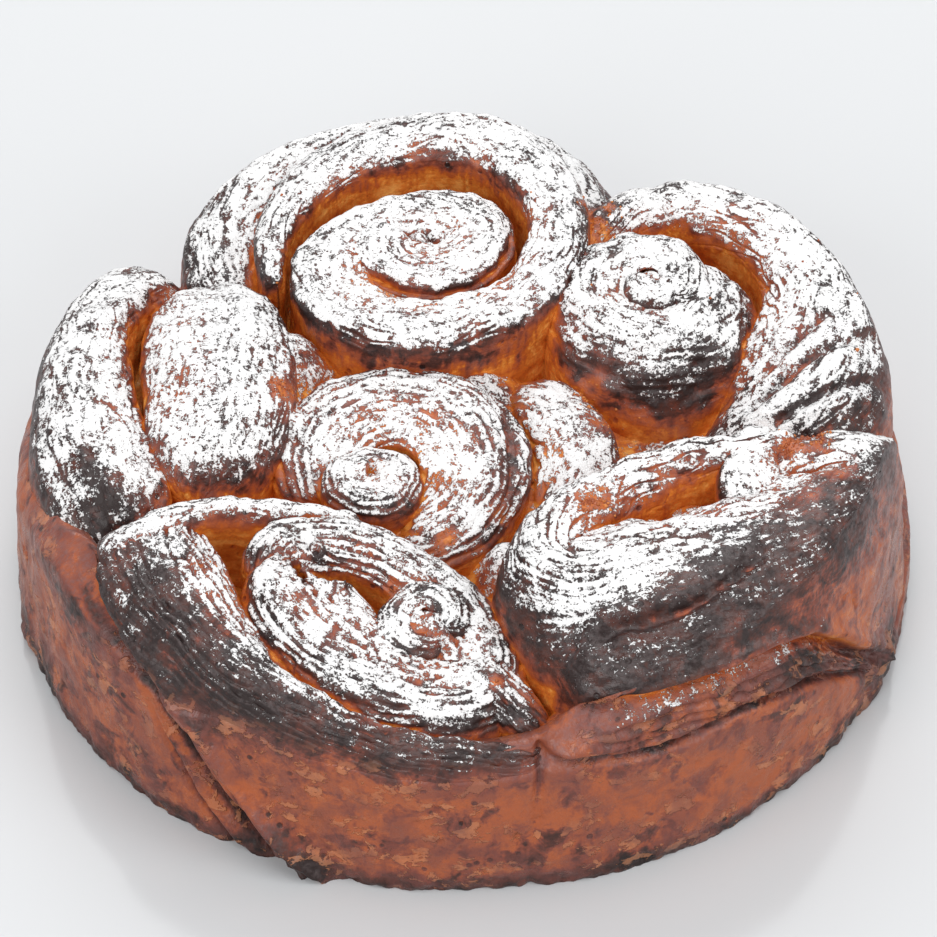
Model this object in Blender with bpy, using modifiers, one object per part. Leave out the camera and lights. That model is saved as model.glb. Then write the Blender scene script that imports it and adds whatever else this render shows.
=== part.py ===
"""Rose bread: a round pan loaf of five coiled rolls set about a sixth, fused where they touch.

The origin is at the centre of the underside, +Z is up, and the highest roll is at +X -Y.
Each roll is one or more strips of dough on edge. A strip is a loft along a spiral: its
section has a rounded crest, an outward and an inward side, and its foot is in the crumb.
The strips and the crumb are fused, the pan that moulded the wall trims them, and the folds
in the wall are cut last.
"""
import math

import bmesh
import bpy
import numpy as np

# Driving dimensions. Lengths are in millimetres, and angles in degrees, anticlockwise from +X.
MM = 0.001
PAN_RADIUS = 120.0                # the widest place, just above the underside
PAN_WALL = (                      # how far the wall stands in at each height
    (0.8, 0.0), (0.0, 2.0), (1.5, 12.0), (2.5, 30.0), (3.5, 46.0), (6.0, 60.0), (10.0, 76.0))
PAN_SIDES = 96                    # facets round the pan's wall
CRUMB_RADIUS = 124.0              # the crumb under the rolls, before the pan trims it
CRUMB_TOP = 34.0
UNDERCUT = 8.0                    # what is fused reaches this far below the underside

# How finely the dough is made.
STRIP_STEP = 3.0                  # between the sections of a strip
CREST_POINTS = 9                  # on each half of a section's crest
VOXEL = 1.6
SMOOTH_TURNS = 4
FACE_BUDGET = 8600                # triangles left after thinning

CRUST = (0.36, 0.11, 0.03)
CRUST_ROUGHNESS = 0.55

# Each strip winds about a centre. Its lists are spread evenly along it: reach is the crest's
# distance from the centre, out and inn the section's widths on the two sides of the crest,
# crest its height, and fall_out and fall_in how far the rounding goes down on each side.
# end_dip is the share of that by which the ends sink.
# heading and stretch lengthen a roll along one direction, and slope tips its top.
STRIPS = {
    "rim": dict(                  # the dough between the rolls, behind and at the sides
        centre=(0, 0), start=-16, sweep=228, reach=(104,), out=(16,), inn=(14,),
        crest=(44, 50, 46, 51, 49, 50, 52, 48, 50, 46), fall_out=14, fall_in=12, foot=-8),
    "back_coil": dict(
        centre=(-12, 59), start=200, sweep=-765, squareness=2.6,
        reach=(40, 37, 37.5, 40, 38, 36, 34.7, 32, 25, 14.5, 11.5, 13, 18, 16, 12, 8, 4, 1),
        out=(3, 5, 8, 8, 8, 8.5, 10, 11, 11, 8.5, 8.5, 9.5, 9, 9, 10, 10, 10, 10),
        inn=(2, 4.7, 7.3, 9, 8, 8, 10, 11, 11, 8.5, 8.5, 9.5, 9, 9, 10, 10, 10, 10),
        crest=(58, 61, 64, 67, 66, 65, 64, 63, 62, 62, 62, 62, 62, 62, 62, 62.5, 63, 63),
        fall_out=7, fall_in=6, foot=26, end_dip=0.1),
    "back_lobe": dict(
        centre=(-12, 59), start=196, sweep=-190,
        reach=(50, 54, 53, 49, 48, 50), out=(12, 14, 14, 14, 14, 14), inn=(10, 12, 11, 8, 8, 10),
        crest=(48, 54, 58, 60, 58, 50), fall_out=16, fall_in=9, foot=-8),
    "right_wrap": dict(
        centre=(57, 38), start=140, sweep=-222,
        reach=(32, 40, 39, 41, 42, 43, 37), out=(8, 11, 12, 13, 13, 13, 12), inn=(4, 5, 9, 14, 17, 19, 14),
        crest=(54, 59, 62, 62, 60, 55, 46), fall_out=18, fall_in=10, foot=-8),
    "right_coil": dict(
        centre=(50, 40), start=40, sweep=-430,
        reach=(15, 15, 15, 15, 11, 6, 1), out=(10, 9, 9, 10, 11, 11, 11), inn=(9, 9, 9, 10, 11, 11, 11),
        crest=(60, 60, 61, 62, 63, 64, 64), fall_out=11, fall_in=8, foot=10, end_dip=0.1),
    "high_wrap": dict(
        centre=(60, -50), heading=22, stretch=2.2, start=62, sweep=372,
        reach=(21, 21, 20, 17.5, 12.5, 12.5, 19, 21.5, 15),
        out=(5, 5, 9, 18, 34, 36, 24, 10, 6), inn=(3, 4.5, 7, 9, 9.5, 9.5, 10, 7, 5),
        crest=(66, 68, 68, 67, 69, 70, 69, 67, 65), fall_out=25, fall_in=12, foot=-8),
    "high_foot": dict(
        centre=(0, 0), start=278, sweep=74, reach=(107, 109, 110, 110, 111), out=(13, 12, 12, 12, 12),
        inn=(12, 10, 10, 10, 10), crest=(41, 46, 46, 33, 16), fall_out=3, fall_in=6, foot=-8),
    "high_tongue": dict(
        centre=(118, -38), start=196, sweep=-44, reach=(46, 46, 46), out=(6, 8, 7), inn=(6, 9, 7),
        crest=(66, 67, 66), fall_out=7, fall_in=7, foot=20),
    "high_hollow": dict(
        centre=(122, -38), start=185, sweep=-25, reach=(34, 33, 34), out=(8, 9, 8), inn=(12, 14, 12),
        crest=(58, 59, 58), fall_out=5, fall_in=5, foot=20),
    "front_wrap": dict(
        centre=(0, 0), start=205, sweep=77, reach=(88, 99, 104, 108, 111), out=(15, 20, 16, 11, 8),
        inn=(13, 15, 11, 7, 5), crest=(57, 63, 55, 43, 32), fall_out=18, fall_in=9, foot=-8),
    "front_back": dict(
        centre=(-52, -80), start=152, sweep=-98, reach=(42, 40, 38.5, 44), out=(8, 5, 4, 4), inn=(8, 5, 4, 3),
        crest=(60, 62, 60, 56), fall_out=7, fall_in=7, foot=10),
    "front_coil": dict(
        centre=(-20, -74), heading=-34, stretch=1.75, start=165, sweep=-400, slope=(-0.149, 0.10),
        reach=(21, 19, 18, 18, 20, 15), out=(6, 7.5, 7.5, 8, 7, 5), inn=(17, 9, 18, 17, 19, 6),
        crest=(54, 54.5, 54, 54, 54, 53), fall_out=7, fall_in=5, foot=10),
    "front_heart": dict(
        centre=(-9, -74.5), start=-60, sweep=-330, slope=(-0.149, 0.10), reach=(6, 6, 4, 1), out=(7, 7, 8, 8),
        inn=(7, 7, 8, 8), crest=(54, 54.5, 55, 55), fall_out=6, fall_in=6, foot=10, end_dip=0.1),
    "left_wrap": dict(
        centre=(0, 0), start=141, sweep=66, reach=(98, 102, 100, 97, 95), out=(16, 15, 16, 18, 17),
        inn=(6, 8, 13, 17, 17), crest=(47, 56, 59, 58, 51), fall_out=20, fall_in=10, foot=-8),
    "left_fold": dict(
        centre=(-185, 12), start=21, sweep=-40, reach=(121, 121, 122, 122), out=(14, 19, 20, 17),
        inn=(14, 21, 20, 17), crest=(53, 61, 63, 58), fall_out=14, fall_in=14, foot=10),
    "middle_coil": dict(
        centre=(-24, -26), start=150, sweep=-420, reach=(8, 8, 5, 1), out=(6, 6, 7, 7), inn=(6, 6, 7, 7),
        crest=(53, 54, 55, 55), fall_out=6, fall_in=6, foot=10, end_dip=0.1),
    "middle_wrap": dict(
        centre=(-18, -20), start=200, sweep=-290, reach=(20, 24, 25, 26, 22), out=(8, 11, 12, 12, 10),
        inn=(10, 15, 16, 14, 12), crest=(50, 55, 56, 55, 47), fall_out=9, fall_in=6, foot=10),
    "middle_tail": dict(
        centre=(0, 0), start=62, sweep=-90, reach=(27, 36, 40, 26), out=(8, 12, 10, 8), inn=(8, 12, 10, 8),
        crest=(44, 46, 44, 42), fall_out=8, fall_in=8, foot=10),
}

# Folds in the wall, where one roll laps over the next: a groove on a smooth curve through its
# places, each an angle and a height, cut by a round of that radius to the depth of its bite.
FOLDS = (
    dict(name="left_seam", places=((216, 50), (228, 46), (237, 30), (242, 14), (249, -3)), radius=3.6, bite=3.2),
    dict(name="front_seam", places=((279, 44), (279.5, 28), (279, 12), (278, -3)), radius=3.0, bite=2.4),
    dict(name="high_lap", places=((283, 44), (297, 47), (311, 42), (325, 28), (338, 12)), radius=2.6, bite=2.2),
)
FOLD_STEPS = 12


def evenly(values, share):
    """The smooth (Catmull-Rom) curve through evenly spread values, read at each share, 0 to 1."""
    values = np.atleast_1d(np.asarray(values, float))
    if len(values) == 1:
        return np.full_like(share, values[0])
    ends = (2 * values[0] - values[1], 2 * values[-1] - values[-2])
    padded = np.concatenate([ends[:1], values, ends[1:]])
    place = share * (len(values) - 1)
    span = np.minimum(place.astype(int), len(values) - 2)
    t = place - span
    a, b, c, d = (padded[span + k] for k in range(4))
    return b + 0.5 * t * (c - a + t * (2 * a - 5 * b + 4 * c - d + t * (3 * (b - c) + d - a)))


def strip_sections(spec):
    """Rows of section points along a strip: its spiral, then a rounded crest on two upright sides."""
    fine = np.linspace(0, 1, 600)
    heading = math.radians(spec.get("heading", 0))
    angle = np.radians(spec["start"] + spec["sweep"] * fine) - heading
    reach = evenly(spec["reach"], fine)
    along, across = spec.get("stretch", 1) * reach * np.cos(angle), reach * np.sin(angle)
    cos, sin = math.cos(heading), math.sin(heading)
    path = np.stack([along * cos - across * sin, along * sin + across * cos], 1)
    length = np.concatenate([[0], np.cumsum(np.hypot(*np.diff(path, axis=0).T))])

    count = max(8, round(length[-1] / STRIP_STEP))
    travelled = np.linspace(0, length[-1], count)
    share = np.interp(travelled, length, fine)
    path = np.stack([np.interp(travelled, length, path[:, k]) for k in (0, 1)], 1)
    heading_way = np.gradient(path, axis=0)
    heading_way /= np.linalg.norm(heading_way, axis=1, keepdims=True)
    turn = 1 if spec["sweep"] > 0 else -1
    outward = np.stack([heading_way[:, 1], -heading_way[:, 0]], 1) * turn
    crest = evenly(spec["crest"], share) + path @ np.array(spec.get("slope", (0, 0)))
    out, inn = evenly(spec["out"], share), evenly(spec["inn"], share)

    # Both ends are rounded, in plan and from the side.
    to_end = np.minimum(travelled, length[-1] - travelled) / ((out + inn) / 2)
    cap = np.sqrt(1 - (1 - np.clip(to_end, 0.03, 1)) ** 2)
    crest -= (1 - cap) * spec.get("end_dip", 0.5) * (spec["fall_out"] + spec["fall_in"])

    power = 2 / spec.get("squareness", 2.3)
    lean = np.linspace(0, math.pi / 2, CREST_POINTS)
    side, rise = np.cos(lean) ** power, np.sin(lean) ** power
    offset = np.concatenate([out[:, None] * side, -inn[:, None] * side[-2::-1]], 1) * cap[:, None]
    drop = np.concatenate([spec["fall_out"] * (1 - rise), spec["fall_in"] * (1 - rise[-2::-1])])
    height = crest[:, None] - drop * cap[:, None]
    foot = np.full((count, 1), float(spec["foot"]))
    offset = np.concatenate([offset[:, :1], offset, offset[:, -1:]], 1)
    height = np.concatenate([foot, height, foot], 1)
    plan = (np.array(spec["centre"]) + path)[:, None] + outward[:, None] * offset[..., None]
    rows = np.concatenate([plan, height[..., None]], 2)
    return rows if turn > 0 else rows[:, ::-1]


def loft(bm, rows):
    """Closes rows of points into a skin, with a cap at each end."""
    count, around, _ = rows.shape
    verts = [[bm.verts.new(point * MM) for point in row] for row in rows]
    for i in range(count - 1):
        for j in range(around):
            k = (j + 1) % around
            bm.faces.new((verts[i][j], verts[i][k], verts[i + 1][k], verts[i + 1][j]))
    bm.faces.new(verts[0][::-1])
    bm.faces.new(verts[-1])


def new_object(name, bm, collection):
    mesh = bpy.data.meshes.new(name)
    bm.to_mesh(mesh)
    bm.free()
    obj = bpy.data.objects.new(name, mesh)
    collection.objects.link(obj)
    return obj


def crumb_and_rolls(collection):
    """Every strip, and the round of crumb that they stand in, not fused yet."""
    bm = bmesh.new()
    for spec in STRIPS.values():
        loft(bm, strip_sections(spec))
    depth = CRUMB_TOP + UNDERCUT
    made = bmesh.ops.create_cone(
        bm, cap_ends=True, segments=PAN_SIDES, radius1=CRUMB_RADIUS * MM, radius2=CRUMB_RADIUS * MM,
        depth=depth * MM)
    bmesh.ops.translate(bm, verts=made["verts"], vec=(0, 0, (CRUMB_TOP - depth / 2) * MM))
    return new_object("dough", bm, collection)


def applied(obj):
    """Replaces an object's mesh by what its modifiers make of it."""
    depsgraph = bpy.context.evaluated_depsgraph_get()
    mesh = bpy.data.meshes.new_from_object(obj.evaluated_get(depsgraph))
    obj.modifiers.clear()
    obj.data = mesh
    return obj


def fuse(obj):
    """Joins what touches into one skin, and fills the pockets that this shuts in."""
    remesh = obj.modifiers.new("fuse", "REMESH")
    remesh.mode = "VOXEL"
    remesh.voxel_size = VOXEL * MM
    smooth = obj.modifiers.new("soften", "SMOOTH")
    smooth.factor = 0.5
    smooth.iterations = SMOOTH_TURNS
    applied(obj)

    bm = bmesh.new()
    bm.from_mesh(obj.data)
    keep_largest(bm)
    bm.to_mesh(obj.data)
    bm.free()

    thin = obj.modifiers.new("thin", "DECIMATE")
    thin.ratio = FACE_BUDGET / (2 * len(obj.data.polygons))
    applied(obj)


def keep_largest(bm):
    """Leaves the island of faces with the most faces, and drops the rest."""
    left, best = set(bm.verts), set()
    while left:
        island, edge = set(), [left.pop()]
        while edge:
            vert = edge.pop()
            island.add(vert)
            near = {link.other_vert(vert) for link in vert.link_edges} & left
            left -= near
            edge.extend(near)
        best = max(best, island, key=len)
    bmesh.ops.delete(bm, geom=[v for v in bm.verts if v not in best], context="VERTS")


def pan(collection):
    """The inside of the pan: its profile turned round the axis, closed top and bottom."""
    profile = [(0.0, PAN_WALL[-1][1])]
    profile += [(PAN_RADIUS - inset, height) for inset, height in reversed(PAN_WALL)]
    profile += [(0.0, PAN_WALL[0][1])]
    bm = bmesh.new()
    verts = [bm.verts.new((x * MM, 0, z * MM)) for x, z in profile]
    for a, b in zip(verts, verts[1:]):
        bm.edges.new((a, b))
    obj = new_object("pan_inside", bm, collection)
    screw = obj.modifiers.new("turn", "SCREW")
    screw.steps = screw.render_steps = PAN_SIDES
    screw.use_merge_vertices = True
    screw.merge_threshold = 0.0001
    return applied(obj)


def wall_radius(height):
    insets, heights = zip(*PAN_WALL)
    return PAN_RADIUS - float(np.interp(height, heights, insets))


def fold_cutter(fold, collection):
    """A round-nosed groove along the wall, as a bevelled curve made a mesh."""
    angles, heights = zip(*fold["places"])
    share = np.linspace(0, 1, FOLD_STEPS)
    curve = bpy.data.curves.new(fold["name"], "CURVE")
    curve.dimensions = "3D"
    curve.bevel_depth = fold["radius"] * MM
    curve.bevel_resolution = 2
    curve.use_fill_caps = True
    spline = curve.splines.new("POLY")
    spline.points.add(FOLD_STEPS - 1)
    for point, degrees, height in zip(spline.points, evenly(angles, share), evenly(heights, share)):
        radius = wall_radius(height) + fold["radius"] - fold["bite"]
        turn = math.radians(degrees)
        point.co = (radius * math.cos(turn) * MM, radius * math.sin(turn) * MM, height * MM, 1)
    source = bpy.data.objects.new(fold["name"] + "_path", curve)
    collection.objects.link(source)
    depsgraph = bpy.context.evaluated_depsgraph_get()
    mesh = bpy.data.meshes.new_from_object(source.evaluated_get(depsgraph))
    bpy.data.objects.remove(source)
    bm = bmesh.new()
    bm.from_mesh(mesh)
    bmesh.ops.remove_doubles(bm, verts=bm.verts, dist=0.00001)
    bm.to_mesh(mesh)
    bm.free()
    obj = bpy.data.objects.new(fold["name"], mesh)
    collection.objects.link(obj)
    return obj


def cut(obj, cutter, operation):
    cutter.hide_render = True
    cutter.display_type = "WIRE"
    modifier = obj.modifiers.new(cutter.name, "BOOLEAN")
    modifier.operation = operation
    modifier.object = cutter


def crust_material():
    material = bpy.data.materials.new("crust")
    material.use_nodes = True
    shader = material.node_tree.nodes["Principled BSDF"]
    shader.inputs["Base Color"].default_value = (*CRUST, 1)
    shader.inputs["Roughness"].default_value = CRUST_ROUGHNESS
    shader.inputs["Metallic"].default_value = 0.0
    return material


def main():
    for obj in list(bpy.data.objects):
        bpy.data.objects.remove(obj)
    loaf = bpy.data.collections.new("rose_bread")
    cutters = bpy.data.collections.new("cutters")
    for collection in (loaf, cutters):
        bpy.context.scene.collection.children.link(collection)

    bread = crumb_and_rolls(loaf)
    bread.name = "rose_bread"
    fuse(bread)
    cut(bread, pan(cutters), "INTERSECT")
    for fold in FOLDS:
        cut(bread, fold_cutter(fold, cutters), "DIFFERENCE")
    applied(bread)
    bread.data.materials.clear()
    bread.data.materials.append(crust_material())
    bread.data.shade_smooth()
    bread.data.set_sharp_from_angle(angle=math.radians(50))


main()
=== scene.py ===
import math

import bpy
import numpy as np
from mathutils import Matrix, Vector


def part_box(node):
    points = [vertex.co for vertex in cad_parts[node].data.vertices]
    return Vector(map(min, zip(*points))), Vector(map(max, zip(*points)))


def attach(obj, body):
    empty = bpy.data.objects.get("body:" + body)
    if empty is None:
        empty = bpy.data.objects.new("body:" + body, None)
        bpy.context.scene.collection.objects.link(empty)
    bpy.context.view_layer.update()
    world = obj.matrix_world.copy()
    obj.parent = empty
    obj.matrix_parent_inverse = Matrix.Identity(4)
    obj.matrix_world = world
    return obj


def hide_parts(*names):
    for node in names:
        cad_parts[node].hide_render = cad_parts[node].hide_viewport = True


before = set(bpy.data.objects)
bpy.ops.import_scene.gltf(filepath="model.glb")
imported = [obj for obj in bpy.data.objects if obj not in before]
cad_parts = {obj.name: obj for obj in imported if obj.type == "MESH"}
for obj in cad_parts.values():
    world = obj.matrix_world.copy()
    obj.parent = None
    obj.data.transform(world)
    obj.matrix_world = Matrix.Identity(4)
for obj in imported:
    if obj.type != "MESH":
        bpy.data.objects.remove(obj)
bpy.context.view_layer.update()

mm = 0.001
loafNode = "rose_bread"
loafLow, loafHigh = (np.array(corner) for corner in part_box(loafNode))
panRadius = (loafHigh[0] - loafLow[0]) / 2 / mm  # the loaf fills its pan, so its box gives the radius


# ---- noise and small helpers

gradientTable = np.random.default_rng(7).normal(size=(256, 3))
gradientTable /= np.linalg.norm(gradientTable, axis=1, keepdims=True)


def cloudNoise(points, size, seed=0):
    # gradient noise about -1 to 1: at each corner of a cell of this size sits a slope, and the
    # eight slopes are mixed by a smooth weight of the place in the cell
    q = points / size + seed * 31.7
    cell = np.floor(q).astype(np.int64)
    f = q - cell
    w = f * f * f * (f * (f * 6 - 15) + 10)
    total = np.zeros(len(points))
    for corner in np.ndindex(2, 2, 2):
        at = cell + corner
        key = (at[:, 0] * 73856093) ^ (at[:, 1] * 19349663) ^ (at[:, 2] * 83492791) ^ (seed * 9973)
        slope = gradientTable[(key ^ (key >> 11)) & 255]
        share = np.prod(np.where(corner, w, 1 - w), axis=1)
        total += share * np.sum(slope * (f - corner), axis=1)
    return total * 1.6


def smoothStep(low, high, x):
    t = np.clip((x - low) / (high - low), 0, 1)
    return t * t * (3 - 2 * t)


def bump(x, middle, width):
    return np.exp(-((x - middle) / width) ** 2)


def evenly(values, share):
    # the smooth (Catmull-Rom) curve through evenly spread values, read at each share, 0 to 1
    values = np.atleast_1d(np.asarray(values, float))
    if len(values) == 1:
        return np.full_like(share, values[0])
    padded = np.concatenate([[2 * values[0] - values[1]], values, [2 * values[-1] - values[-2]]])
    place = share * (len(values) - 1)
    span = np.minimum(place.astype(int), len(values) - 2)
    t = place - span
    a, b, c, d = (padded[span + k] for k in range(4))
    return b + 0.5 * t * (c - a + t * (2 * a - 5 * b + 4 * c - d + t * (3 * (b - c) + d - a)))


def angleOf(points):
    return np.degrees(np.arctan2(points[:, 1], points[:, 0])) % 360


# ---- the pan: what moulds the wall

pan = dict(
    heights=(0, 2, 12, 30, 46, 60, 76),       # mm
    insets=(0.3, 0.0, 0.8, 2.0, 3.2, 6, 10),  # mm, how far the wall stands in at each height
    round=8.0,                                # mm, how softly the dough meets the wall
    reliefFrom=16)                            # mm inside the pan where the wall's relief starts

# burnt lumps that stand out of the wall: angle, height, how far out, size
knobs = ((336, 10, 2.0, 9), (331, 17, 1.4, 6), (247, 4, 2.0, 7), (252, 2, 1.4, 5), (196, 5, 1.2, 7))

# the lines where two rolls were squeezed together against the pan: angle, height, depth; first
# the edge of the high roll over its own lap, and the lower edge of that lap
highEdge = dict(width=1.6, lip=1.2, places=(
    (280, 49, 3.4), (285, 50.5, 4.0), (292, 53.5, 4.2), (300.5, 53.5, 4.0), (308, 51.5, 4.2),
    (314.5, 50, 4.4), (318.5, 46.5, 4.8), (324.5, 34.5, 5.0), (330, 22, 4.4), (335, 12, 2.4)))
lapEdge = dict(width=1.3, lip=0.8, places=(
    (280, 42, 2.4), (289.5, 40, 2.8), (294.5, 38, 3.2), (306, 39.5, 3.6), (313.5, 35.5, 3.8),
    (319, 32, 3.6), (326, 22, 3.0), (331, 14, 1.6)))
seams = (
    dict(width=2.7, lip=1.7, places=(  # the slanting fold at the left front
        (204, 55, 2.5), (211, 51.5, 5.0), (218.5, 49, 6.4), (227.5, 42, 6.6), (233.5, 31, 6.0),
        (239.5, 16, 5.8), (245, 6, 5.6), (248.5, -2, 5.0))),
    dict(width=1.1, lip=0.5, places=(  # burnt folds beside its foot
        (233, 40, 0.3), (238.5, 27, 1.8), (244, 14, 3.2), (250, 3, 3.2), (253, -3, 2.6))),
    dict(width=1.0, lip=0.5, places=(
        (226, 40, 0.2), (230.5, 26, 1.6), (235.5, 12, 2.8), (241, 1, 3.0), (244, -3, 2.6))),
    dict(width=1.6, lip=0.4, places=(  # between the two front rolls
        (280, 50, 3.0), (279.5, 42, 2.6), (279, 30, 1.4), (278.5, 12, 0.8), (278, -2, 1.2))),
    highEdge, lapEdge,
    # the crease along the far left roll, then three seams round the right and the back
    dict(width=1.3, lip=0.5, places=((174, 57, 1.5), (186, 55, 2.6), (198, 53, 2.6), (206, 52, 1.2))),
    dict(width=2.0, lip=0.5, places=((352, 66, 3.0), (352, 50, 2.2), (351, 34, 1.0), (349, 16, 0.2))),
    dict(width=2.2, lip=0.6, places=((74, 60, 2.6), (72, 44, 2.0), (66, 24, 1.2), (62, -2, 0.6))),
    dict(width=2.0, lip=0.6, places=((141, 58, 2.8), (144, 42, 2.2), (150, 20, 1.4), (153, -2, 0.8))))

# creases on the tops of the rolls: x, y, depth
creases = (
    dict(width=1.9, lip=1.3, places=(  # the lip along the high roll's front
        (27, -92, 0.6), (39, -90, 3.0), (50, -87.5, 3.2), (60, -82, 3.0), (69, -74, 2.4),
        (80, -62, 0.8))),
    dict(width=2.6, lip=0.2, places=(  # the valley beside the middle roll
        (9, 9, 1.5), (13, -3, 3.0), (14, -14, 3.4), (13, -26, 2.4), (11, -37, 1.0))),
    dict(width=1.7, lip=0.5, places=(  # the slit in the back coil
        (-28, 46, 1.2), (-18, 37, 3.6), (-6, 35.5, 4.2), (4.5, 39.4, 3.8), (12, 48, 3.2),
        (14.8, 60, 1.2))),
    # three folds on the right roll
    dict(width=1.5, lip=0.6, places=((112, 27, 1.0), (92, 16, 2.2), (76, 4, 1.8))),
    dict(width=1.4, lip=0.6, places=((114, 15, 1.0), (98, 7, 2.2), (82, -3, 1.8))),
    dict(width=1.3, lip=0.6, places=((106, 38, 0.8), (92, 26, 1.8), (78, 13, 1.6))))


def furrows(u, v, lines):
    # depth * exp(-(distance / width)^2) at each line, less a raised lip on one side of it
    total = np.zeros(len(u))
    for furrow in lines:
        places = np.array(furrow["places"], float)
        nearest, side, deep = np.full(len(u), 1e6), np.zeros(len(u)), np.zeros(len(u))
        for a, b in zip(places[:-1], places[1:]):
            away = np.stack([u - a[0], v - a[1]], 1)
            step = b[:2] - a[:2]
            share = np.clip(away @ step / (step @ step), 0, 1)
            off = away - share[:, None] * step
            distance = np.hypot(off[:, 0], off[:, 1])
            closer = distance < nearest
            nearest = np.where(closer, distance, nearest)
            side = np.where(closer, np.sign(step[0] * away[:, 1] - step[1] * away[:, 0]), side)
            deep = np.where(closer, a[2] + share * (b[2] - a[2]), deep)
        width = furrow["width"]
        total += deep * np.exp(-(nearest / width) ** 2)
        total -= furrow["lip"] * deep / 3 * bump(nearest * side, 2.2 * width, 1.5 * width)
    return total


arc = math.radians(1) * panRadius  # mm along the wall for a degree
wallSeams = [dict(seam, places=[(turned * arc, up, deep) for turned, up, deep in seam["places"]])
             for seam in seams]


def seamRelief(angle, height):
    return furrows(angle * arc, height, wallSeams)


def lapShare(angle, height):
    # 0 at the lap's lower edge and 1 at the edge of the high roll above it
    upper, lower = (np.interp(angle, [turned for turned, _, _ in edge["places"]],
                              [up for _, up, _ in edge["places"]]) for edge in (highEdge, lapEdge))
    return (height - lower) / np.maximum(upper - lower, 4)


def leafOf(lap, points):
    # thin leaves stacked across the lap: |sin| of the lap's share, wandering
    return np.abs(np.sin(math.pi * (lap * 5 + 0.7 * cloudNoise(points * (1, 1, 2), 9, 26))))


def wallRelief(points, angle):
    # how far the wall lies inside the pan: slow waves, seams, thin leaves in the lap, small pits
    # and a ragged base
    z = points[:, 2]
    depth = 0.3 + 0.8 * cloudNoise(points, 26, 21) + 0.55 * cloudNoise(points, 10, 22)
    depth += 0.24 * cloudNoise(points, 4, 23) + 0.11 * cloudNoise(points, 1.8, 24)
    depth = np.maximum(depth, -0.2)
    wander = 0.7 * cloudNoise(points, 9, 25)
    depth += seamRelief(angle, z + wander)
    lap = lapShare(angle, z + wander)
    within = smoothStep(282, 294, angle) * smoothStep(336, 328, angle)
    within = within * smoothStep(-0.1, 0.1, lap) * smoothStep(1.1, 0.9, lap)
    depth += within * (2.2 - 1.6 * leafOf(lap, points))
    for turned, up, out, size in knobs:
        away = np.hypot(np.radians(angle - turned) * panRadius, z - up)
        depth -= out * bump(away, 0, size) * (1 + 0.9 * cloudNoise(points, 3.0, 33))
    pitted = smoothStep(0.0, 0.5, cloudNoise(points, 26, 27))
    depth += pitted * 0.7 * smoothStep(0.42, 0.75, cloudNoise(points, 2.7, 28))
    ragged = np.maximum(0.4 + 0.9 * cloudNoise(points, 4.5, 29) + 0.5 * cloudNoise(points, 1.9, 34), 0)
    return depth + smoothStep(7, 1, z) * ragged


def pressToPan(points, inset):
    # a point past the wall comes back to it: radius = smooth minimum of radius and wall radius
    x, y, z = points.T
    radius = np.hypot(x, y) + 1e-9
    near = radius > panRadius - pan["reliefFrom"]
    onWall = points[near]
    onWall[:, :2] *= (panRadius / radius[near])[:, None]
    relief = np.zeros(len(points))
    relief[near] = wallRelief(onWall, angleOf(onWall))
    wall = panRadius - inset - relief - np.interp(z, pan["heights"], pan["insets"])
    h = np.clip(0.5 + 0.5 * (wall - radius) / pan["round"], 0, 1)
    kept = wall * (1 - h) + radius * h - pan["round"] * h * (1 - h)
    return np.stack([x * kept / radius, y * kept / radius, z], 1)


# ---- the strips of dough, mm and degrees anticlockwise from +X
# reach: the crest's distance from the centre; out, inn: the widths on its two sides; crest: its
# height; fallOut, fallIn: how far the rounding goes down; heading, stretch: lengthen a roll one
# way; slope: tips its top; ends: how long its two ends take to round off; layers: depth of the
# broken lines along it; leaves: depth and spacing of the even ones; inset: how far behind the
# wall it stays; squareness: over 2 is boxier; endDip: how far the ends sink, as a share of the
# falls; foot: the height it stands on; swell: how lumpy; coarse: wider mesh; dust: more sugar

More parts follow.
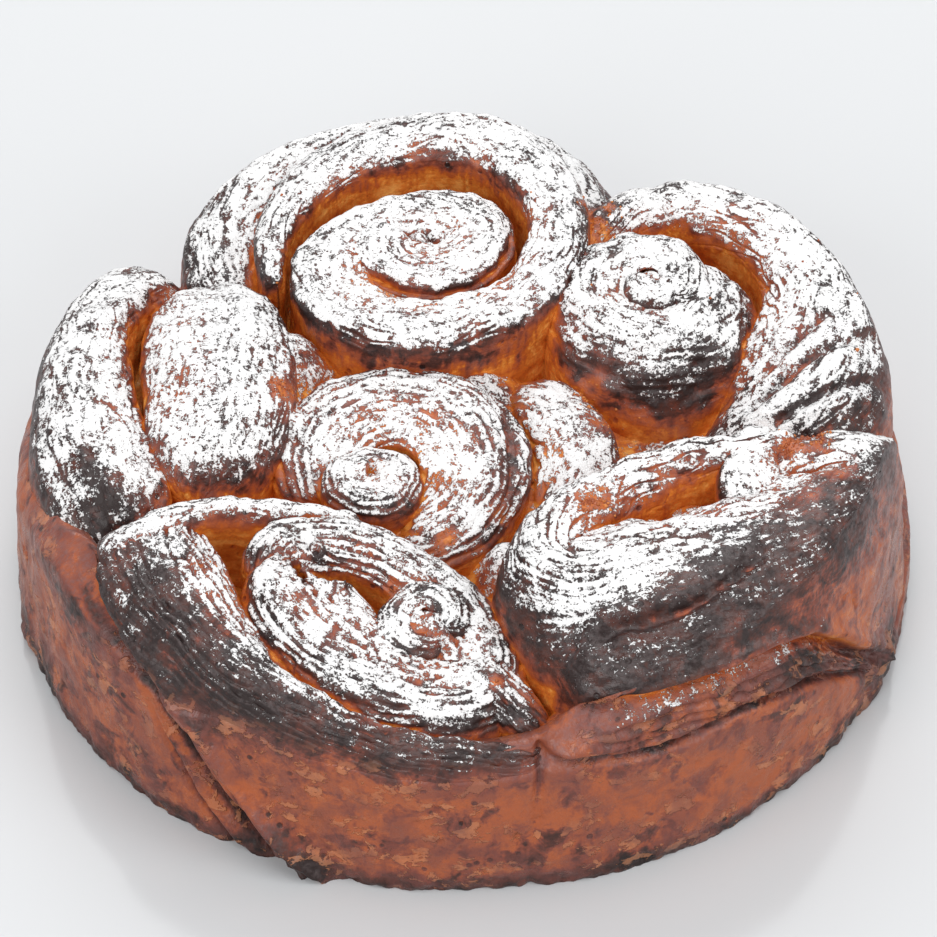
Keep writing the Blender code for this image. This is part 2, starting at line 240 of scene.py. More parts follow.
rolls = dict(
    backCoil=dict(
        coil=dict(
            centre=(-12, 59), start=200, sweep=-765, squareness=2.8, endDip=0.1, layers=0.5,
            ends=(1, 0.35),
            reach=(40, 37, 37.5, 40, 38, 36, 34.7, 32, 25, 14.5, 11.5, 13, 18, 16, 13, 10, 7, 5),
            out=(3, 10, 15, 14, 10, 8.5, 10, 11, 11, 8.5, 8.5, 9.5, 9, 9, 10, 11, 12, 12),
            inn=(2, 4.7, 7.3, 9, 8, 8, 10, 11, 11, 8.5, 10, 12, 13, 12, 12, 12, 11, 10),
            crest=(58, 61, 64, 67, 66, 65, 64, 63, 62, 62, 62, 62, 62, 62, 62, 62.5, 63, 63),
            fallOut=(7, 13, 16, 15, 10, 7, 7, 7, 7, 5, 5, 5, 5, 5, 5, 5, 5, 5), fallIn=6, foot=26)),
    backLobe=dict(
        lobe=dict(
            centre=(-12, 59), start=196, sweep=-190, layers=0.5, inset=0.6,
            reach=(50, 54, 53, 49, 48, 50), out=(12, 14, 18, 19, 16, 14), inn=(12, 14, 14, 12, 10, 10),
            crest=(48, 55, 59, 60, 58, 50), fallOut=18, fallIn=9, foot=0.5)),
    rightRoll=dict(
        wrap=dict(
            centre=(57, 38), start=140, sweep=-222, layers=0.7, inset=0.2,
            reach=(32, 40, 39, 41, 42, 43, 37), out=(8, 11, 12, 16, 21, 20, 15),
            inn=(5, 9, 12, 16, 21, 25, 20), crest=(54, 59, 62, 62, 60, 55, 46),
            fallOut=(18, 18, 19, 24, 30, 30, 22), fallIn=10, foot=0.5),
        coil=dict(
            centre=(50, 40), start=40, sweep=-430, endDip=0.1, layers=0.5, ends=(1, 0.35), swell=1.6,
            squareness=1.95, reach=(16, 15, 15, 15, 12, 7, 3), out=(13, 17, 19, 14, 11, 11, 11),
            inn=(12, 12, 14, 17, 17, 14, 12), crest=(61, 61, 62, 63, 64, 65, 64),
            fallOut=(14, 22, 28, 18, 7, 6, 6), fallIn=6, foot=10),
        button=dict(
            centre=(49.5, 39), start=60, sweep=-280, endDip=0.2, layers=0.4, reach=(3, 2.6, 2),
            out=(6, 7, 7), inn=(6, 7, 7), crest=(63.5, 65, 65.5), fallOut=5, fallIn=3, foot=30)),
    highRoll=dict(
        wrap=dict(
            centre=(60, -50), heading=22, stretch=2.2, start=62, sweep=372, layers=0.7, swell=1.3,
            reach=(21, 21, 20, 17.5, 12.5, 12.5, 19, 21.5, 15),
            out=(8, 6, 6, 7, 10, 13, 20, 38, 42, 40, 37, 33, 29, 26, 20, 13, 9),
            inn=(6, 7, 8.5, 10, 11.5, 13, 14, 15, 15, 15, 16, 21, 19, 14, 10, 9, 8),
            crest=(66, 68, 68, 67, 69, 70, 69, 67, 65), fallOut=24, fallIn=12, foot=0.5, inset=0.5)),
    highTurns=dict(
        foot=dict(
            centre=(0, 0), start=278, sweep=74, layers=0.9, reach=(107, 109, 110, 110, 111),
            out=(13, 12, 12, 12, 12), inn=(12, 10, 10, 10, 10), crest=(41, 46, 46, 33, 16),
            fallOut=3, fallIn=6, foot=0.5, inset=2.2, coarse=1.5),
        tongue=dict(
            centre=(118, -38), start=196, sweep=-44, reach=(46,), out=(6, 8, 7), inn=(6, 9, 7),
            crest=(66, 67, 66), fallOut=7, fallIn=7, foot=20),
        shelf=dict(
            centre=(126.5, -122), start=123, sweep=-27, reach=(102, 101, 102), out=(11, 11, 9),
            inn=(11, 11, 9), crest=(65, 62.5, 58, 61), fallOut=5, fallIn=5, foot=20, layers=0.7)),
    frontRoll=dict(
        wrap=dict(
            centre=(0, 0), start=205, sweep=77, layers=0.9, leaves=(1.3, 3.1), reach=(88, 99, 106, 109, 112),
            out=(15, 20, 16, 13, 10), inn=(13, 14, 8, 5, 4), crest=(57, 63, 55, 46, 43),
            fallOut=(18, 18, 15, 10, 7), fallIn=(9, 10, 14, 14, 12), foot=0.5),
        backStrip=dict(
            centre=(-52, -80), start=152, sweep=-98, reach=(42, 40, 38.5, 44), out=(8, 5, 4, 4),
            inn=(8, 5, 4, 3), crest=(60, 62, 60, 56), fallOut=7, fallIn=7, foot=10),
        coil=dict(
            centre=(-20, -74), heading=-34, stretch=1.75, start=165, sweep=-400,
            slope=(-0.149, 0.10), layers=0.8, leaves=(1.2, 2.7), reach=(21, 19, 18, 18, 20, 15),
            out=(8, 9.5, 9.5, 10, 9, 6), inn=(24, 10, 18, 17, 22, 13), dust=0.06,
            crest=(54, 54.5, 54, 54, 54, 53), fallOut=15, fallIn=5, foot=10),
        heart=dict(
            centre=(-9, -74.5), start=-60, sweep=-330, slope=(-0.149, 0.10), layers=0.6,
            leaves=(0.8, 2.3), ends=(1, 0.4), reach=(6, 6, 5, 2.5), out=(7, 7, 8, 9),
            inn=(11, 11, 11, 11), crest=(53, 54, 54.5, 54), fallOut=6, fallIn=6, foot=10, endDip=0.1),
        tip=dict(
            centre=(52.7, -49.4), start=212, sweep=27, reach=(61.4,), out=(8, 7, 5), inn=(9, 8, 6),
            crest=(51, 49, 42), fallOut=9, fallIn=7, foot=10, layers=0.9, leaves=(0.9, 2.6))),
    leftRoll=dict(
        wrap=dict(
            centre=(0, 0), start=141, sweep=66, layers=0.5, inset=0.6, reach=(98, 102, 100, 97, 95),
            out=(22, 20, 17, 18, 17), inn=(6, 8, 13, 17, 17), crest=(47, 56, 59, 58, 51),
            fallOut=20, fallIn=10, foot=0.5),
        fold=dict(
            centre=(-185, 12), start=21, sweep=-40, reach=(121, 121, 122, 122), layers=0.5,
            out=(14, 19, 20, 17), inn=(14, 21, 20, 17), crest=(53, 61, 63, 58), squareness=2.8,
            fallOut=14, fallIn=14, foot=10)),
    middleRoll=dict(
        coil=dict(
            centre=(-24, -26), start=150, sweep=-420, reach=(8, 8, 6, 4), out=(6, 6, 7, 8),
            inn=(7, 9, 9, 8), crest=(54, 55, 56, 56), fallOut=6, fallIn=6, foot=10, endDip=0.1,
            layers=0.6, leaves=(0.9, 2.4), ends=(1, 0.35)),
        wrap=dict(
            centre=(-18, -20), start=200, sweep=-290, reach=(20, 24, 24, 23, 21), layers=0.9,
            leaves=(1.1, 2.9), out=(9, 14, 15, 12, 12), inn=(13, 17, 18, 16, 14),
            crest=(51, 55, 56, 54, 47), fallOut=8, fallIn=3, foot=10),
        tail=dict(
            centre=(-10, -10), start=52, sweep=-86, reach=(34, 37, 39, 38), out=(10, 12, 12, 9),
            inn=(10, 11, 11, 9), crest=(47, 50, 50, 46), fallOut=7, fallIn=6, foot=10, layers=0.9)))

grid = dict(along=0.62, crest=0.62, side=1.3)  # mm between points along a strip and across it
pathSteps = 1500  # steps in which a strip's path is first measured
layerGap = 40.0  # mm between the strips' own stretches of the noise that lays their layers
skinLayer = 900.0  # mm, the same for the wall's skin


def stripGrid(spec):
    # a strip: a section carried along a spiral. path(u) = centre + reach(u) at start + sweep * u,
    # stretched along its heading; section: offset = width * cos(t)^k, height = crest - fall *
    # (1 - sin(t)^k), between two upright sides down to the foot
    fine = np.linspace(0, 1, pathSteps)
    heading = math.radians(spec.get("heading", 0))
    angle = np.radians(spec["start"] + spec["sweep"] * fine) - heading
    reach = evenly(spec["reach"], fine)
    along, across = spec.get("stretch", 1) * reach * np.cos(angle), reach * np.sin(angle)
    cos, sin = math.cos(heading), math.sin(heading)
    path = np.stack([along * cos - across * sin, along * sin + across * cos], 1)
    length = np.concatenate([[0], np.cumsum(np.hypot(*np.diff(path, axis=0).T))])
    coarse = spec.get("coarse", 1)
    count = max(12, round(length[-1] / grid["along"] / coarse))
    travelled = np.linspace(0, length[-1], count)
    share = np.interp(travelled, length, fine)
    path = np.stack([np.interp(travelled, length, path[:, k]) for k in (0, 1)], 1)
    way = np.gradient(path, axis=0)
    way /= np.linalg.norm(way, axis=1, keepdims=True)
    turn = 1 if spec["sweep"] > 0 else -1
    outward = np.stack([way[:, 1], -way[:, 0]], 1) * turn
    crest = evenly(spec["crest"], share) + path @ np.array(spec.get("slope", (0, 0)))
    out, inn, fallOut, fallIn = (evenly(spec[key], share) for key in ("out", "inn", "fallOut", "fallIn"))

    ends = spec.get("ends", (1, 1))
    toEnd = np.minimum(travelled / ends[0], (length[-1] - travelled) / ends[1]) / ((out + inn) / 2)
    cap = np.sqrt(1 - (1 - np.clip(toEnd, 0.004, 1)) ** 2)
    dip = (1 - cap) * spec.get("endDip", 0.5) * (fallOut + fallIn)
    crest = crest - dip

    power = 2 / spec.get("squareness", 2.3)
    half = max(8, round((out.max() + fallOut.max()) * 0.8 / grid["crest"] / coarse))
    lean = np.linspace(0, math.pi / 2, half)
    side, rise = np.cos(lean) ** power, np.sin(lean) ** power
    offset = np.concatenate([out[:, None] * side, -inn[:, None] * side[-2::-1]], 1) * cap[:, None]
    drop = np.concatenate([fallOut[:, None] * (1 - rise), fallIn[:, None] * (1 - rise[-2::-1])], 1)
    height = crest[:, None] - drop * cap[:, None]
    foot = float(spec["foot"])
    sideCount = max(3, round((crest.max() - fallOut.min() - foot) / grid["side"] / coarse))
    up = np.linspace(0, 1, sideCount, endpoint=False)
    outSide = foot + (height[:, :1] - foot) * up
    inSide = foot + (height[:, -1:] - foot) * up[::-1]
    offset = np.concatenate([np.repeat(offset[:, :1], sideCount, 1), offset,
                             np.repeat(offset[:, -1:], sideCount, 1)], 1)
    height = np.concatenate([outSide, height, inSide], 1)
    plan = (np.array(spec["centre"]) + path)[:, None] + outward[:, None] * offset[..., None]
    points = np.concatenate([plan, height[..., None]], 2)
    below = (crest + dip)[:, None] - height
    outer = smoothStep(-0.45, 0.2, offset / (0.5 * (out + inn) * cap)[:, None])
    if turn < 0:
        points, below, outer = points[:, ::-1], below[:, ::-1], outer[:, ::-1]
    return points, travelled, below, outer


def gridNormals(points):
    # the normal is the cross product of the steps along and across the grid
    normal = np.cross(np.gradient(points, axis=0), np.gradient(points, axis=1))
    return normal / (np.linalg.norm(normal, axis=2, keepdims=True) + 1e-9)


def roughen(points, travelled, below, spec, number):
    # lumps of falling size push the skin in and out; broken lines along the strip sink where a
    # stretched noise crosses nought, and even leaves by |sin(pi * across / spacing)|
    rows, around, _ = points.shape
    normal = gridNormals(points).reshape(-1, 3)
    flat = points.reshape(-1, 3)
    across = np.concatenate([np.zeros((rows, 1)), np.cumsum(
        np.linalg.norm(np.diff(points, axis=1), axis=2), axis=1)], 1)
    across -= across[:, [int(np.argmin(below[rows // 2]))]]
    lay = np.stack([np.repeat(travelled, around), across.ravel(),
                    np.full(rows * around, number * layerGap)], 1)
    swell = spec.get("swell", 1)
    push = swell * (1.1 * cloudNoise(flat, 15, 1) + 0.7 * cloudNoise(flat, 7, 2))
    push += 0.42 * cloudNoise(flat, 3.4, 3) + 0.22 * cloudNoise(flat, 1.9, 4)
    bent = lay + np.stack([0 * push, 1.6 * cloudNoise(flat, 11, 5), 0 * push], 1)
    layers = spec.get("layers", 0.4)
    patch = smoothStep(-0.5, 0.35, cloudNoise(flat, 18, 8))
    line = np.abs(cloudNoise(bent * (1 / 16, 1 / 3.1, 1), 1, 6))
    groove = min(1, 1.4 * layers) * patch * smoothStep(0.10, 0, line)
    push -= layers * patch * smoothStep(0.13, 0, line)
    push += 0.5 * layers * cloudNoise(bent * (1 / 24, 1 / 5, 1), 1, 9)
    if "leaves" in spec:
        depth, spacing = spec["leaves"]
        uneven = 0.35 * cloudNoise(bent * (0.3, 1, 1), 8, 10)
        ridge = np.abs(np.sin(math.pi * (bent[:, 1] / spacing + uneven)))
        cut = (1 - ridge) ** 2.5 * smoothStep(-0.6, 0.1, cloudNoise(flat, 13, 13))
        push -= depth * cut
        groove = np.maximum(groove, cut)
    onTop = smoothStep(0.2, 0.6, normal[:, 2])
    wander = 1.2 * cloudNoise(flat, 8, 36)
    crease = furrows(flat[:, 0] + wander, flat[:, 1] + wander, creases) * onTop
    push -= crease
    groove = np.maximum(groove, smoothStep(1.0, 2.6, crease))
    upright = smoothStep(0.5, 0.1, normal[:, 2])
    return flat + normal * (push * (1 - 0.45 * upright))[:, None], lay, groove


def sleeveFaces(rows, around):
    # faces of a closed sleeve with a cap at each end
    i = np.arange(rows - 1)[:, None] * around
    j = np.arange(around)[None]
    k = (j + 1) % around
    quads = np.stack([i + j, i + around + j, i + around + k, i + k], -1).reshape(-1, 4)
    caps = [list(range(around)), list(range((rows - 1) * around, rows * around))[::-1]]
    return quads.tolist() + caps


# ---- the skin of the wall, which all the rolls share low down; it ends at these heights, where
# each roll's own shoulder takes over

skin = dict(
    columns=1000, wallRows=76,
    overlap=0.9,           # mm, how far the rolls stay behind the skin
    beyond=150,            # mm, a radius outside the pan, from which the wall is pressed in
    curl=5, shoulder=13,   # mm that its top turns in: at the front, and round the back
    tops=((8, 22), (20, 34), (44, 36), (56, 28), (74, 26), (90, 32), (112, 34), (124, 24), (133, 18),
          (142, 26), (155, 36), (170, 38), (195, 42),
          (208, 49), (215, 47.5), (223, 47), (232, 41), (240, 43), (250, 40), (262, 38), (274, 38),
          (280, 40), (286, 47), (292, 52), (300, 53), (308, 51), (314, 49.5), (318.5, 46),
          (324.5, 34), (330, 22), (336, 12), (343, 8), (350, 12), (358, 18)))


def skinTop(angle):
    return np.interp(angle, *zip(*skin["tops"]), period=360)


def backShare(angle):
    # 1 round the back, where the shoulder shows, 0 at the front, where the rolls cover it
    return smoothStep(14, 34, angle) * smoothStep(202, 188, angle)


def skinGrid():
    # one profile turned about the axis: underside, wall up to the top, a curl inwards, and the
    # hidden inside; radius = the pan's, less the relief
    angle = np.arange(skin["columns"]) * 360 / skin["columns"]
    top = skinTop(angle)[None]
    up = np.linspace(0, 1, skin["wallRows"])[:, None]
    wallHeight = up * (top + skin["curl"])
    back = backShare(angle)[None]
    rise = np.clip((wallHeight - top + skin["curl"]) / (2 * skin["curl"]), 0, 1)
    inset = skin["curl"] * smoothStep(top - 1, top + skin["curl"], wallHeight) * (1 - back)
    inset = inset + skin["shoulder"] * (1 - np.sqrt(1 - rise ** 2)) * back
    turned = np.radians(angle)[None] + 0 * wallHeight
    wall = np.stack([skin["beyond"] * np.cos(turned), skin["beyond"] * np.sin(turned), wallHeight], -1)
    wall = pressToPan(wall.reshape(-1, 3), inset.ravel()).reshape(wall.shape)
    ring = np.stack([np.cos(turned[:1]), np.sin(turned[:1]), 0 * turned[:1]], -1)
    under = np.array([2, 30, 60, 90, 106, 112, 116], float)
    farDown = -1e3  # brought up to the skin's hidden floor below
    hidden = np.array([[104, -2], [102, -8], [108, farDown], [60, farDown], [2, farDown]])
    underRows = ring * under[:, None, None]
    insideRows = ring * hidden[:, 0, None, None]
    insideRows[:, :, 2] = np.maximum(hidden[:, 1:] + top + 4, 4)
    return np.concatenate([underRows, wall, insideRows])


# ---- build every strip, and the heights of the whole loaf for what shades what

lowest, softTop = 0.5, 69  # mm: no roll goes lower; over the second, lumps are flattened
strips = []
for rollName, roll in rolls.items():
    for spec in roll.values():
        points, travelled, below, outer = stripGrid(spec)
        moved, lay, groove = roughen(points, travelled, below, spec, len(strips))
        behind = skin["overlap"] * smoothStep(1, -3, moved[:, 2] - skinTop(angleOf(moved)))
        moved = pressToPan(moved, spec.get("inset", 0) + behind)
        over = np.maximum(moved[:, 2] - softTop, 0)
        moved[:, 2] = np.clip(moved[:, 2], lowest, softTop + 0.3 * over)
        strips.append(dict(roll=rollName, shape=points.shape[:2], points=moved, lay=lay,
                           below=below.ravel(), outer=outer.ravel(), groove=groove,
                           dust=spec.get("dust", 0)))
print("strips:", len(strips), "points:", sum(len(strip["points"]) for strip in strips))

reliefMap = dict(cell=1.0, half=126, ground=32.0)  # mm; ground: where no roll stands
size = int(2 * reliefMap["half"] / reliefMap["cell"]) + 1
heights = np.full((size, size), reliefMap["ground"])


def cells(xy):
    return np.clip(np.rint((xy + reliefMap["half"]) / reliefMap["cell"]).astype(int), 0, size - 1)


for strip in strips:
    at = cells(strip["points"][:, :2])
    np.maximum.at(heights, (at[:, 0], at[:, 1]), strip["points"][:, 2])
across = np.arange(size) - reliefMap["half"]
outside = np.hypot(*np.meshgrid(across, across, indexing="ij")) > panRadius
heights[outside] = 0


def openSky(points):
    # the share of sky over a point: each direction's steepest rise to the heights hides the sine
    # of its slope; what is left, averaged over the directions
    z = points[:, 2] + 0.4
    sky = np.zeros(len(points))
    directions, steps = 14, (1.6, 3, 5, 8, 12, 18)
    for turn in np.arange(directions) * 2 * math.pi / directions:
        steepest = np.zeros(len(points))
        for step in steps:
            spot = cells(points[:, :2] + step * np.array([math.cos(turn), math.sin(turn)]))
            steepest = np.maximum(steepest, (heights[spot[:, 0], spot[:, 1]] - z) / step)
        sky += 1 - steepest / np.sqrt(1 + steepest ** 2)
    return sky / directions


def wallBakeAndShading(points, angle):
    # the moulded wall: red-brown, nearly burnt at the base, dark under the front roll's shoulder,
    # paler low under the high roll and at the left; painted shade darkens the lap under the high
    # roll's edge, the grooves between its leaves, and deep in the seams, where the crust is also partly burnt
    z = points[:, 2]
    value = 0.60 + 0.42 * smoothStep(8, 1.5, z) + 0.16 * cloudNoise(points, 26, 31)
    value += 0.10 * cloudNoise(points, 9, 32)
    value += 0.32 * smoothStep(34, 47, z) * smoothStep(206, 218, angle) * smoothStep(286, 274, angle)
    value += 0.25 * smoothStep(44, 56, z) * smoothStep(206, 196, angle) * smoothStep(140, 160, angle)
    value += 0.36 * bump(angle, 207, 12) * smoothStep(32, 44, z)
    value -= 0.16 * bump(angle, 309, 13) * bump(z, 20, 13)
    value -= 0.08 * smoothStep(215, 195, angle) * smoothStep(150, 170, angle)
    lap = lapShare(angle, z)
    within = smoothStep(282, 290, angle) * smoothStep(336, 328, angle)
    value -= 0.22 * within * bump(lap, 0.35, 0.3) * bump(angle, 298, 12)
    value -= 0.34 * within * bump(lap, 1.35, 0.28) * smoothStep(330, 320, angle)
    # darker over the lap, under the high roll's edge, and darkest in the grooves between its leaves: painted
    # shade
    value += within * bump(lap, 0.45, 0.5) * (0.24 * smoothStep(305, 320, angle) + 0.3 * (
        1 - leafOf(lap, points)) ** 2 + 0.24)
    for turned, up, out, size in knobs:
        value += 0.75 * bump(np.hypot(np.radians(angle - turned) * panRadius, z - up), 0, size)
    # darker deep in the seams: painted shade, and partly burnt crust; paler on their shallow flanks
    furrow = seamRelief(angle, z + 0.7 * cloudNoise(points, 9, 25))
    value -= 0.26 * bump(furrow, 0.7, 0.5) * smoothStep(10, 22, z)
    return value + 0.55 * smoothStep(1.2, 2.8, furrow)


# places where little sugar stuck and pale crumb shows: x, y, size
bareSpots = (
    (90, -25, 5), (83, -28, 4), (33, -49, 4.5), (14, 17, 4), (40, 3, 7), (47, -2, 5), (-5, -44, 3),
    (33, 12, 4), (-18, -66, 3), (8, -92, 3), (36, 70, 4), (39, 75, 3), (-47, 2, 4))

# where the crust scorched: x, y, size
scorched = ((-93, -35, 8), (-97, -22, 4))

# where the sugar starts to thin out towards the wall: angle, radius
shoulderStart = (
    (205, 92), (222, 94), (235, 99), (250, 104), (270, 101), (285, 87), (320, 88), (337, 93), (348, 108))


def spotsShare(points, spots):
    # near 1 at the middle of each spot, falling off over its size
    return sum(bump(np.hypot(points[:, 0] - x, points[:, 1] - y), 0, size) for x, y, size in spots)


def dress(points, normal, below, outer, groove, onSkin, shelter=0.30, dust=0.0):
    # sugar falls on what faces the open sky; crust is darkest at the outer shoulders, redder in the
    # middle of the loaf and palest in the gaps, where it baked least; that pale tone in the sheltered
    # gaps is also a painted glow
    angle, z = angleOf(points), points[:, 2]
    radius = np.hypot(points[:, 0], points[:, 1])
    sky = openSky(points)
    spot = cells(points[:, :2])
    under = heights[spot[:, 0], spot[:, 1]] - z
    up = np.where(below < 8, np.abs(normal[:, 2]), normal[:, 2])
    flank = smoothStep(322, 338, angle) + smoothStep(24, 8, angle)
    wallTop = np.maximum(skinTop(angle), 46 * flank)
    wall = smoothStep(9, 4, panRadius - radius) * smoothStep(7, -2, z - wallTop)
    shoulder = smoothStep(0, 9, radius - np.interp(angle, *zip(*shoulderStart)))
    shoulder = shoulder * smoothStep(205, 222, angle) * smoothStep(356, 348, angle)
    burnt = spotsShare(points, scorched)
    burnt = np.clip(burnt * (1 + 0.8 * cloudNoise(points, 5, 37)), 0, 1)
    uncovered = smoothStep(5, 2, under)
    sugar = smoothStep(0.12 - dust, 0.96 - dust, up)
    sugar = sugar * smoothStep(shelter, shelter + 0.35, sky) * uncovered
    sugar = sugar * (1 - 0.6 * shoulder) * (1 - 0.35 * smoothStep(4, 12, below) * outer) * (1 - 0.75 * groove)
    bare = spotsShare(points, bareSpots)
    bare = np.clip(bare * (1 + 1.2 * cloudNoise(points, 3.5, 35)), 0, 1)
    sugar = sugar * (1 - 0.75 * bare) * (1 - 0.7 * burnt)
    bake = 0.36 + 0.08 * outer + (0.54 - 0.08 * outer) * smoothStep(28, 11, below) * (0.35 + 0.65 * outer)
    bake -= 0.22 * smoothStep(72, 40, radius) * smoothStep(12, 4, below)
    bake += 0.10 * bump(np.hypot(points[:, 0] - 55, points[:, 1] - 12), 0, 20)
    # the open sky over a point sets how pale and golden its crust is: partly less-baked dough, partly a
    # painted glow in the sheltered gaps
    bake = bake * (0.16 + 0.84 * smoothStep(0.22, 0.62, sky)) * (1 - 0.65 * bare) + 0.3 * burnt
    film = smoothStep(0.15, 0.7, up) * smoothStep(0.25, 0.5, sky) * uncovered * (1 - burnt)
    bake = np.maximum(bake, 0.47 * flank * smoothStep(96, 104, radius))
    bake = bake * (1 - wall) + wallBakeAndShading(points, angle) * wall
    # on the right flank the grey film is raised far up the wall: a painted sheen, the bright room reflected
    # on the glossy crust
    film = np.maximum(film, 2.6 * flank * smoothStep(8, 22, z) * smoothStep(14, 6, panRadius - radius))
    if onSkin:
        lap = lapShare(angle, z)
        dusted = 0.8 * backShare(angle) * smoothStep(0, 8, z - skinTop(angle)) * sugar
        onLap = smoothStep(284, 292, angle) * smoothStep(322, 314, angle)
        sugar = 0.5 * bump(lap, 0.84, 0.12) * onLap + dusted
        wall = 0 * wall + 1
    return dict(sugar=sugar, bake=np.clip(bake, 0, 1), film=film, wall=wall, bare=bare)


for strip in strips:
    rows, around = strip["shape"]
    normal = gridNormals(strip["points"].reshape(rows, around, 3)).reshape(-1, 3)
    strip["fields"] = dress(strip["points"], normal, strip["below"], strip["outer"],
                            strip["groove"], False, dust=strip["dust"])
print("fields done")


# ---- meshes

def makePiece(name, points, faces, fields, lay):
    mesh = bpy.data.meshes.new(name)
    mesh.from_pydata((points * mm).tolist(), [], faces)
    mesh.polygons.foreach_set("use_smooth", np.ones(len(mesh.polygons), bool))
    for key, values in fields.items():
        mesh.attributes.new(key, "FLOAT", "POINT").data.foreach_set("value", values.astype(np.float32))
    mesh.attributes.new("lay", "FLOAT_VECTOR", "POINT").data.foreach_set(
        "vector", (lay * mm).astype(np.float32).ravel())
    mesh.update()
    piece = bpy.data.objects.new(name, mesh)
    bpy.context.scene.collection.objects.link(piece)
    return piece


def rollPiece(rollName):
    chosen = [strip for strip in strips if strip["roll"] == rollName]
    faces, start = [], 0
    for strip in chosen:
        faces += [[corner + start for corner in face] for face in sleeveFaces(*strip["shape"])]
        start += len(strip["points"])
    points, lay = (np.concatenate([strip[key] for strip in chosen]) for key in ("points", "lay"))
    fields = {key: np.concatenate([strip["fields"][key] for strip in chosen])
              for key in chosen[0]["fields"]}
    return makePiece(rollName, points, faces, fields, lay)


def skinPiece():
    points = skinGrid()
    rows, around, _ = points.shape
    normal = -gridNormals(points).reshape(-1, 3)
    flat = points.reshape(-1, 3)
    fields = dress(flat, normal, np.full(len(flat), 20.0), 1.0, 0.0, True)
    lay = np.stack([flat[:, 2], np.radians(angleOf(flat)) * panRadius,
                    np.full(len(flat), skinLayer)], 1)
    faces = [face[::-1] for face in sleeveFaces(rows, around)]
    return makePiece("wallSkin", flat, faces, fields, lay)


crumb = dict(
    radius=112.0, top=35.0, rings=130, sectors=460, notch=(133, 11, 16),  # angle, width, depth
    # x, y, height, radius
    swells=((-48, 22, 22, 17), (-45, -4, 20, 14), (-14, 0, 18, 24), (8, -14, 14, 18), (5, 16, 15, 13),
            (22, 8, 10, 14), (45, -47, 15, 12), (-51, 8, 20, 12), (-24, -27, 18, 15), (12, -47, 14, 11),
            (15, -72, 10, 9), (-28, -48, 14, 11), (92, -28, 22, 14), (49.5, 37, 30, 12), (-7, -77, 19, 10),
            (-12, 59, 27, 10), (-37, -56, 25, 8), (58, -42, 22, 15)))


def crumbPiece():
    # the bread between the rolls: a turned block whose top swells where the rolls stand close
    t = np.linspace(0, 1, crumb["rings"])[1:, None]
    degrees = np.arange(crumb["sectors"])[None] * 360 / crumb["sectors"]
    angle = np.radians(degrees)
    middle, width, depth = crumb["notch"]
    radius = (crumb["radius"] - depth * bump(degrees, middle, width)) * t
    top = np.stack([radius * np.cos(angle), radius * np.sin(angle), crumb["top"] + 0 * t * angle], -1)
    flat = top.reshape(-1, 3)
    swell = sum((height * np.exp(-((flat[:, 0] - x) ** 2 + (flat[:, 1] - y) ** 2) / reach ** 2)) ** 3
                for x, y, height, reach in crumb["swells"]) ** (1 / 3)
    lumps = 1.3 * cloudNoise(flat, 9, 11) + 0.7 * cloudNoise(flat, 3.4, 12) + 0.3 * cloudNoise(flat, 1.8, 14)
    top[..., 2] += (swell + lumps).reshape(top.shape[:2])
    top[..., 2] -= 12 * bump(degrees, middle, width) * smoothStep(90, 104, radius)
    shoulder = backShare(degrees) * smoothStep(94, 106, radius) * (1 - bump(degrees, middle, width))
    top[..., 2] += shoulder * np.maximum(skinTop(degrees) + 3.5 - top[..., 2], 0)
    low = top[-1:] * (1, 1, 0) + (0, 0, 6)
    points = np.concatenate([top, low, low * (0.02, 0.02, 1)])
    flat = points.reshape(-1, 3)
    normal = gridNormals(points).reshape(-1, 3)
    fields = dress(flat, normal, np.full(len(flat), 14.0), 0.3, 0.0, False, 0.10)
    return makePiece("crumbBlock", flat, sleeveFaces(*points.shape[:2]), fields, flat)


# loose crumbs of pale dough where the rolls broke
loose = dict(count=330, small=0.22, large=0.62)  # mm

golden = (1 + math.sqrt(5)) / 2
ballCorners = np.array([(-1, golden, 0), (1, golden, 0), (-1, -golden, 0), (1, -golden, 0), (0, -1, golden),
                        (0, 1, golden), (0, -1, -golden), (0, 1, -golden), (golden, 0, -1), (golden, 0, 1),
                        (-golden, 0, -1), (-golden, 0, 1)]) / math.hypot(1, golden)
ballFaces = np.array([(0, 11, 5), (0, 5, 1), (0, 1, 7), (0, 7, 10), (0, 10, 11), (1, 5, 9), (5, 11, 4),
                      (11, 10, 2), (10, 7, 6), (7, 1, 8), (3, 9, 4), (3, 4, 2), (3, 2, 6), (3, 6, 8),
                      (3, 8, 9), (4, 9, 5), (2, 4, 11), (6, 2, 10), (8, 6, 7), (9, 8, 1)])


def loosePiece():
    # twelve-cornered lumps, each corner pushed in or out a little, set on points drawn by weight
    draw = np.random.default_rng(5)
    points = np.concatenate([strip["points"] for strip in strips])
    sugar, bare = (np.concatenate([strip["fields"][key] for strip in strips]) for key in ("sugar", "bare"))
    spot = cells(points[:, :2])
    onTop = (heights[spot[:, 0], spot[:, 1]] - points[:, 2] < 1.0) & (points[:, 2] < 68)
    weight = (bare ** 2 + 0.0012 * sugar) * onTop
    middles = points[draw.choice(len(points), loose["count"], replace=False, p=weight / weight.sum())]
    size = draw.uniform(loose["small"], loose["large"], (loose["count"], 1, 1)) * draw.uniform(
        0.6, 1.3, (loose["count"], 1, 3))
    corners = (middles[:, None] + ballCorners * size * draw.uniform(0.6, 1.3, (loose["count"], 12, 1)))
    corners = corners.reshape(-1, 3)
    faces = (np.arange(loose["count"])[:, None, None] * 12 + ballFaces[None]).reshape(-1, 3).tolist()
    return makePiece("looseCrumbs", corners, faces, {}, corners)


pieces = {rollName: rollPiece(rollName) for rollName in rolls}
pieces["wallSkin"] = skinPiece()
pieces["crumbBlock"] = crumbPiece()
pieces["looseCrumbs"] = loosePiece()
print("faces:", {name: len(piece.data.polygons) for name, piece in pieces.items()})


